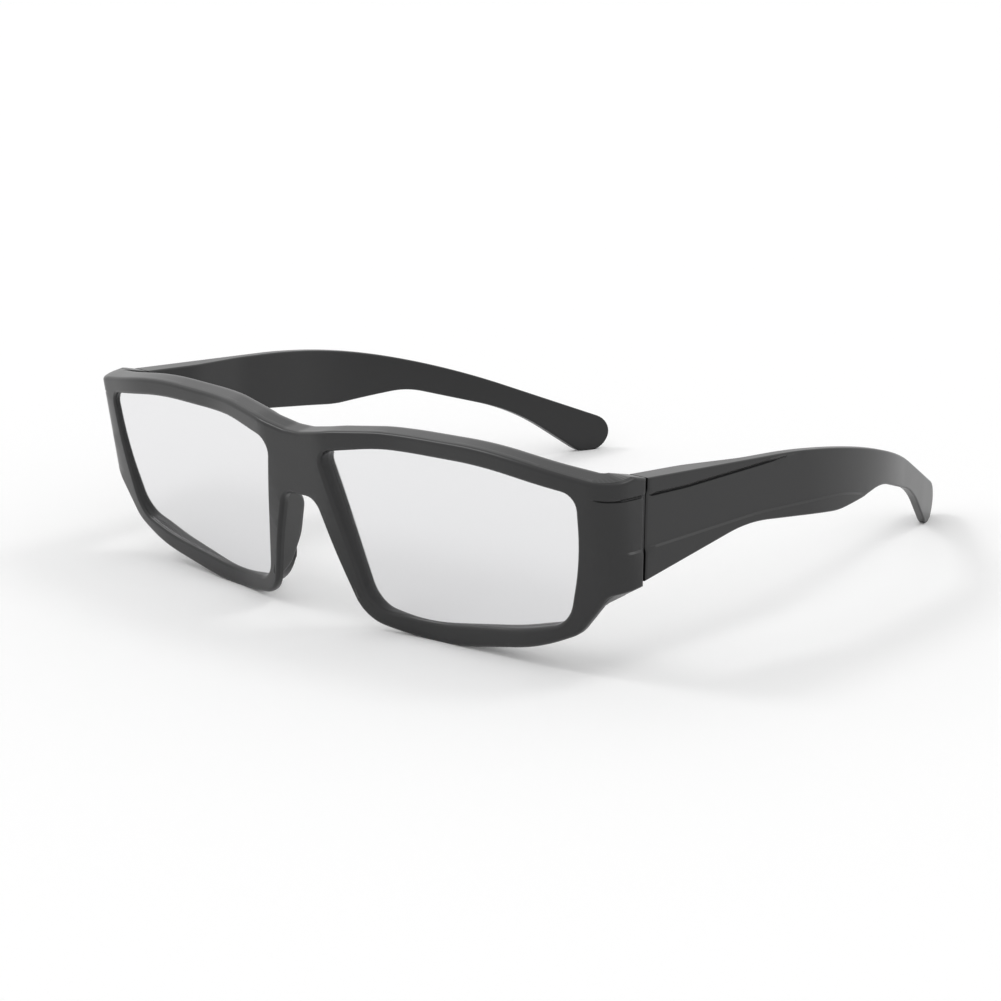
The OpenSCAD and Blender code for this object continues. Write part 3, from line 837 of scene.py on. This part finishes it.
# where the panel's upper and lower edges begin to fade and over what length, with the height that
# lies between them, and how much wider than its slope a faded edge gets
UPPER_FADE = (60, 14)
LOWER_FADE = (92, 8)
PANEL_MIDDLE = -8
FADE_SLOPE = 2.4
panel_loop = turned_left(divided(rounded(ARM_PANEL), 1.2))


def arm_sink(y, z):
    """Depth of the sunk panel with its groove, both fading where its edges leave the arm."""
    points = np.stack([y, z], 1)
    within = np.where(lies_inside(points, [panel_loop]), 1, -1)
    signed = edge_distance(points, [panel_loop]) * within
    upper_fade = np.clip((y - UPPER_FADE[0]) / UPPER_FADE[1], 0, 1)
    lower_fade = np.clip((y - LOWER_FADE[0]) / LOWER_FADE[1], 0, 1)
    fade = np.where(z > PANEL_MIDDLE, upper_fade, lower_fade)
    slope = PANEL_SLOPE + FADE_SLOPE * fade
    groove = upper_groove(signed) * (z > PANEL_MIDDLE) * (1 - fade)
    return PANEL_SINK * np.clip(signed / slope + 0.5, 0, 1) + groove


def arm_front(y, z, depth):
    """Outer face of the left arm."""
    x = np.interp(y, arm_outer[:, 1], arm_outer[:, 0]) - arm_sink(y, z) - depth
    return arms_to_table(x, y, z)


def arm_back(y, z, depth):
    """Inner face of the left arm."""
    return arms_to_table(np.interp(y, arm_inner[:, 1], arm_inner[:, 0]) + depth, y, z)


arm_loop = divided(rounded(ARM_SIDE), 1.2)
panel_lines = [drawn_in(panel_loop, shift) for shift in FIELD_STEPS]
panel_lines = [np.concatenate([line, line[:1]]) for line in panel_lines]
for flip, label in ((False, "left"), (True, "right")):
    arm = moulding("arm_" + label, [arm_loop], arm_front, arm_back, ARM_ROUND, ARM_ROUND,
                   front_lines=panel_lines, flip=flip)
    cut_out(arm, hinge_tools(SEAM + LEAF_AWAY, flip))
    shaded(arm, sharp=40)
    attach(arm, "arm_" + label)
    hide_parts("temple_" + label)
    arm.data.materials.append(satin_black_abs)

# Films: two sheets of polymer with a vapour-deposited silver coat, 0.23 mm thick, laid in from
# behind and held flat by the retainer rings. They mirror the surroundings with a faint ripple.


def surfaced(node_name, material):
    """The CAD piece of that name keeps its mesh and gets the material."""
    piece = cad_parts[node_name]
    piece.data.materials.clear()
    piece.data.materials.append(material)


# silver coat on polymer: a bright mirror that shows the white room, a little hazy (6 mm clouds) and
# very softly rippled (30 mm waves)
silvered_film, tree, film = new_material("silvered_polymer_film")
place = node(tree, "TexCoord", out="Object")
ripple = node(tree, "TexNoise", {"Vector": place, "Scale": 1 / 0.03, "Detail": 1.0})
relief = node(tree, "Bump", {"Height": ripple, "Distance": 0.0002, "Strength": 0.3})
haze = node(tree, "TexNoise", {"Vector": place, "Scale": 1 / 0.006, "Detail": 3.0})
gloss = node(tree, "MapRange", {"Value": haze, "From Min": 0.3, "From Max": 0.7,
                                "To Min": 0.08, "To Max": 0.12})
tree.links.new(gloss, film.inputs["Roughness"])
tree.links.new(relief, film.inputs["Normal"])
film.inputs["Base Color"].default_value = from_hex("#ececed")
film.inputs["Metallic"].default_value = 1.0
for label in ("left", "right"):
    surfaced("lens_" + label, silvered_film)

# Retainer rings: two thin flat rings moulded in matt black ABS and pressed in behind the films,
# which they hold against the ledge of the rims.

# matt black plastic: rough enough to mirror nothing, so the ring stays quiet behind the rim; its
# 0.4 mm grain is drawn coarser than the real one
matt_black_ring, tree, ring_shader = new_material("matt_black_ring_plastic")
place = node(tree, "TexCoord", out="Object")
grain = node(tree, "TexNoise", {"Vector": place, "Scale": 1 / 0.0004, "Detail": 3.0})
relief = node(tree, "Bump", {"Height": grain, "Distance": 0.00002, "Strength": 0.7})
gloss = node(tree, "MapRange", {"Value": grain, "To Min": 0.5, "To Max": 0.62})
tree.links.new(gloss, ring_shader.inputs["Roughness"])
tree.links.new(relief, ring_shader.inputs["Normal"])
ring_shader.inputs["Base Color"].default_value = from_hex("#1b1b1c")
for label in ("left", "right"):
    surfaced("lens_retainer_" + label, matt_black_ring)

# Hinges: two stamped steel leaves a side with rolled knuckles, one slotted steel screw through the
# knuckles as the pin, and two small countersunk steel screws that hold each leaf in its pocket.

# plain rolled steel: bright and a little soft, with the rolling's fine level lines, 0.1 mm high
# and 1.2 mm long
rolled_steel, tree, steel = new_material("rolled_steel_leaf")
place = node(tree, "TexCoord", out="Object")
stretched = node(tree, "Mapping", {"Vector": place, "Scale": (1.0, 1.0, 12.0)})
lines = node(tree, "TexNoise", {"Vector": stretched, "Scale": 1 / 0.0012, "Detail": 4.0})
relief = node(tree, "Bump", {"Height": lines, "Distance": 0.000006, "Strength": 0.6})
gloss = node(tree, "MapRange", {"Value": lines, "To Min": 0.24, "To Max": 0.36})
tree.links.new(gloss, steel.inputs["Roughness"])
tree.links.new(relief, steel.inputs["Normal"])
steel.inputs["Base Color"].default_value = from_hex("#b9bbbd")
steel.inputs["Metallic"].default_value = 1.0
for label in ("left", "right"):
    for kind in ("frame_hinge_leaf_", "temple_hinge_leaf_", "hinge_screw_", "frame_leaf_screws_",
                 "temple_leaf_screws_"):
        surfaced(kind + label, rolled_steel)

# Table, light and camera: a sheet of white studio paper under a white room with two broad, weak
# lamps, seen from the photo's side. Places and sizes here are in metres.
FLOOR_REACH = 12.0
floor_corners = [(a * FLOOR_REACH, b * FLOOR_REACH, 0) for a, b in ((-1, -1), (1, -1), (1, 1), (-1, 1))]
floor_mesh = bpy.data.meshes.new("studio_floor")
floor_mesh.from_pydata(floor_corners, [], [(0, 1, 2, 3)])
floor = bpy.data.objects.new("studio_floor", floor_mesh)
bpy.context.scene.collection.objects.link(floor)
# uncoated white paper: matt and even; its fibre is drawn 2 mm wide, coarser than the real one, and
# still hardly shows
white_table, tree, table = new_material("white_studio_paper")
place = node(tree, "TexCoord", out="Object")
fibre = node(tree, "TexNoise", {"Vector": place, "Scale": 1 / 0.002, "Detail": 2.0})
relief = node(tree, "Bump", {"Height": fibre, "Distance": 0.00001, "Strength": 0.2})
tree.links.new(relief, table.inputs["Normal"])
table.inputs["Base Color"].default_value = from_hex("#ffffff")
table.inputs["Roughness"].default_value = 0.9
floor_mesh.materials.append(white_table)

# the room is plain white to the camera and in reflections, and a little dimmer as a light
ROOM_LIGHT = 0.84
world = bpy.data.worlds.new("white_studio")
bpy.context.scene.world = world
world.use_nodes = True
tree = world.node_tree
tree.nodes.clear()
ray = tree.nodes.new("ShaderNodeLightPath")
seen = ray.outputs["Is Camera Ray"]
for other in ("Is Glossy Ray", "Is Transmission Ray"):
    seen = node(tree, "Math", {0: seen, 1: ray.outputs[other]}, operation="MAXIMUM")
strength = node(tree, "MapRange", {"Value": seen, "To Min": ROOM_LIGHT, "To Max": 1.0})
glow = node(tree, "Background", {"Color": from_hex("#ffffff"), "Strength": strength})
tree.links.new(glow, tree.nodes.new("ShaderNodeOutputWorld").inputs["Surface"])

# each lamp's direction, strength and width in degrees
for name, towards, energy, width in (
    ("front_left_lamp", (-0.62, -0.27, 0.74), 0.38, 14),
    ("rear_right_lamp", (0.3, 0.5, 0.8), 0.28, 18),
):
    sun = bpy.data.lights.new(name, "SUN")
    sun.energy = energy
    sun.angle = math.radians(width)
    sun_object = bpy.data.objects.new(name, sun)
    sun_object.rotation_euler = Vector(towards).to_track_quat("Z", "Y").to_euler()
    bpy.context.scene.collection.objects.link(sun_object)

# the camera fitted to the photo: 0.69 m away, 15 degrees above the table and 47 degrees round
CAMERA_PLACE = (0.47814, -0.460727, 0.192013)
camera = bpy.data.cameras.new("photo_view")
camera.lens = 106.92
camera.sensor_width = 36.0
camera.clip_start = 0.01
camera.clip_end = 40.0
camera_object = bpy.data.objects.new("photo_view", camera)
bpy.context.scene.collection.objects.link(camera_object)
right = Vector((0.69076, 0.72175, -0.04389))
up = Vector((-0.16069, 0.2124, 0.96388))
back = -Vector((-0.70501, 0.65874, -0.26272))
camera_object.matrix_world = Matrix((
    (right.x, up.x, back.x, CAMERA_PLACE[0]),
    (right.y, up.y, back.y, CAMERA_PLACE[1]),
    (right.z, up.z, back.z, CAMERA_PLACE[2]),
    (0, 0, 0, 1),
))
bpy.context.scene.camera = camera_object
bpy.context.scene.view_settings.view_transform = "Standard"
